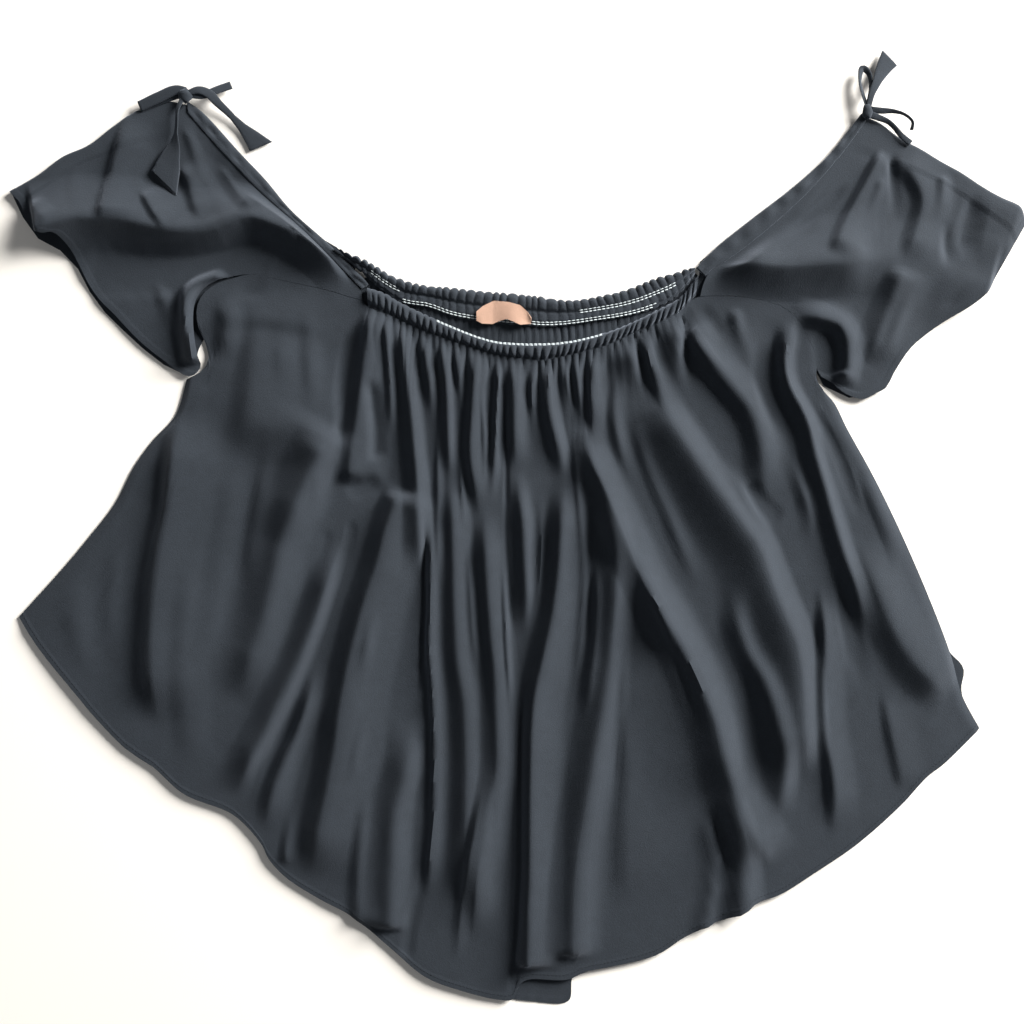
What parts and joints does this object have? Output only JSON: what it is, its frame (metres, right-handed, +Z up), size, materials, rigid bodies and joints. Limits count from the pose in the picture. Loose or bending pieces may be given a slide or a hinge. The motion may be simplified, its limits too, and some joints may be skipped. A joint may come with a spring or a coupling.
{
  "type": "off-shoulder swing top laid flat",
  "caption": "Off-shoulder swing top laid flat: gathered elastic neckline, flutter sleeves, shoulder casings with tied bows, wide body with long folds and a dipped hem.",
  "frame": {"origin": "centre of the garment's outline, on the surface that it lies on", "axes": "+X across the garment to the picture's right, +Y from the hem to the shoulders, +Z up from the surface"},
  "size_m": [0.8107, 0.7559, 0.0172],
  "materials": {
    "cloth": "matt sueded viscose, charcoal navy",
    "tie": "matt sueded viscose tape, charcoal navy",
    "label": "beige satin ribbon, blank"
  },
  "bodies": {
    "root": {"front_body": "cloth", "back_body": "cloth", "sleeve_left": "cloth", "sleeve_right": "cloth", "neck_casing_front": "cloth", "neck_casing_back": "cloth", "shoulder_casing_left": "cloth", "shoulder_casing_right": "cloth", "tie_left": "tie", "tie_right": "tie", "neck_label": "label"}
  },
  "joints": []
}
